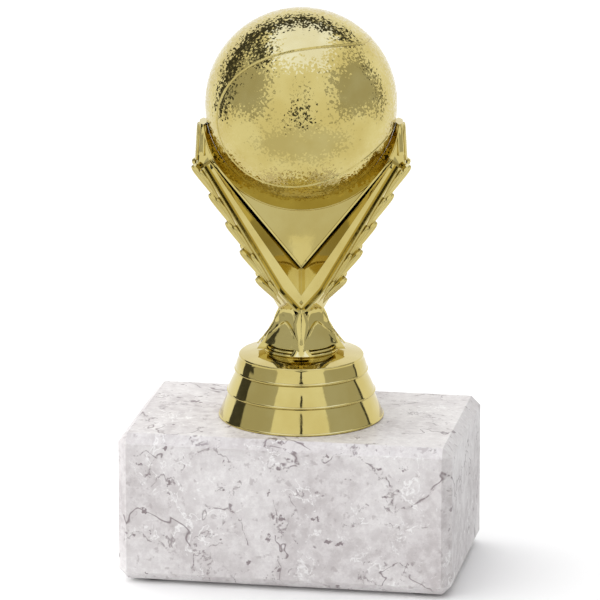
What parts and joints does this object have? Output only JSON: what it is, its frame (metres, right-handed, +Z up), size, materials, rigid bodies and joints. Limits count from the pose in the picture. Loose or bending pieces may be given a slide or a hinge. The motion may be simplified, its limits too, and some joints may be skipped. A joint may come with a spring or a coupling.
{
  "type": "ball trophy",
  "caption": "Small table trophy: a gold ball held in a V of laurel leaves on a lotus stem and tiered foot, bolted through a bevelled marble block.",
  "frame": {"origin": "middle of the block's underside, where the felt pads rest", "axes": "+Z up, +X to the viewer's right along the block's long side, +Y to the back"},
  "size_m": [0.08, 0.05, 0.1358],
  "materials": {
    "gold_plastic": "moulded plastic, vacuum-metallised bright gold and lacquered",
    "gold_ball": "moulded plastic, vacuum-metallised gold over a fine felt-like grain",
    "marble": "polished white marble with fine grey-mauve veins",
    "felt": "pressed black felt",
    "zinc_steel": "bright zinc plated steel",
    "insert_brass": "turned and knurled brass"
  },
  "bodies": {
    "base": {"marble_base": "marble", "felt_pad_front_left": "felt", "felt_pad_front_right": "felt", "felt_pad_rear_left": "felt", "felt_pad_rear_right": "felt", "flat_washer": "zinc_steel", "hex_nut": "zinc_steel"},
    "figure": {"threaded_stud": "zinc_steel", "threaded_insert": "insert_brass", "tiered_foot": "gold_plastic", "lotus_stem": "gold_plastic", "cradle_front": "gold_plastic", "cradle_rear": "gold_plastic", "ball_front_shell": "gold_ball", "ball_rear_shell": "gold_ball"}
  },
  "joints": [
    {"name": "figure_turn", "type": "hinge", "parent": "base", "child": "figure", "pos_m": [0, 0, 0.0368], "axis": [0, 0, 1], "range_deg": [-180, 180]}
  ]
}
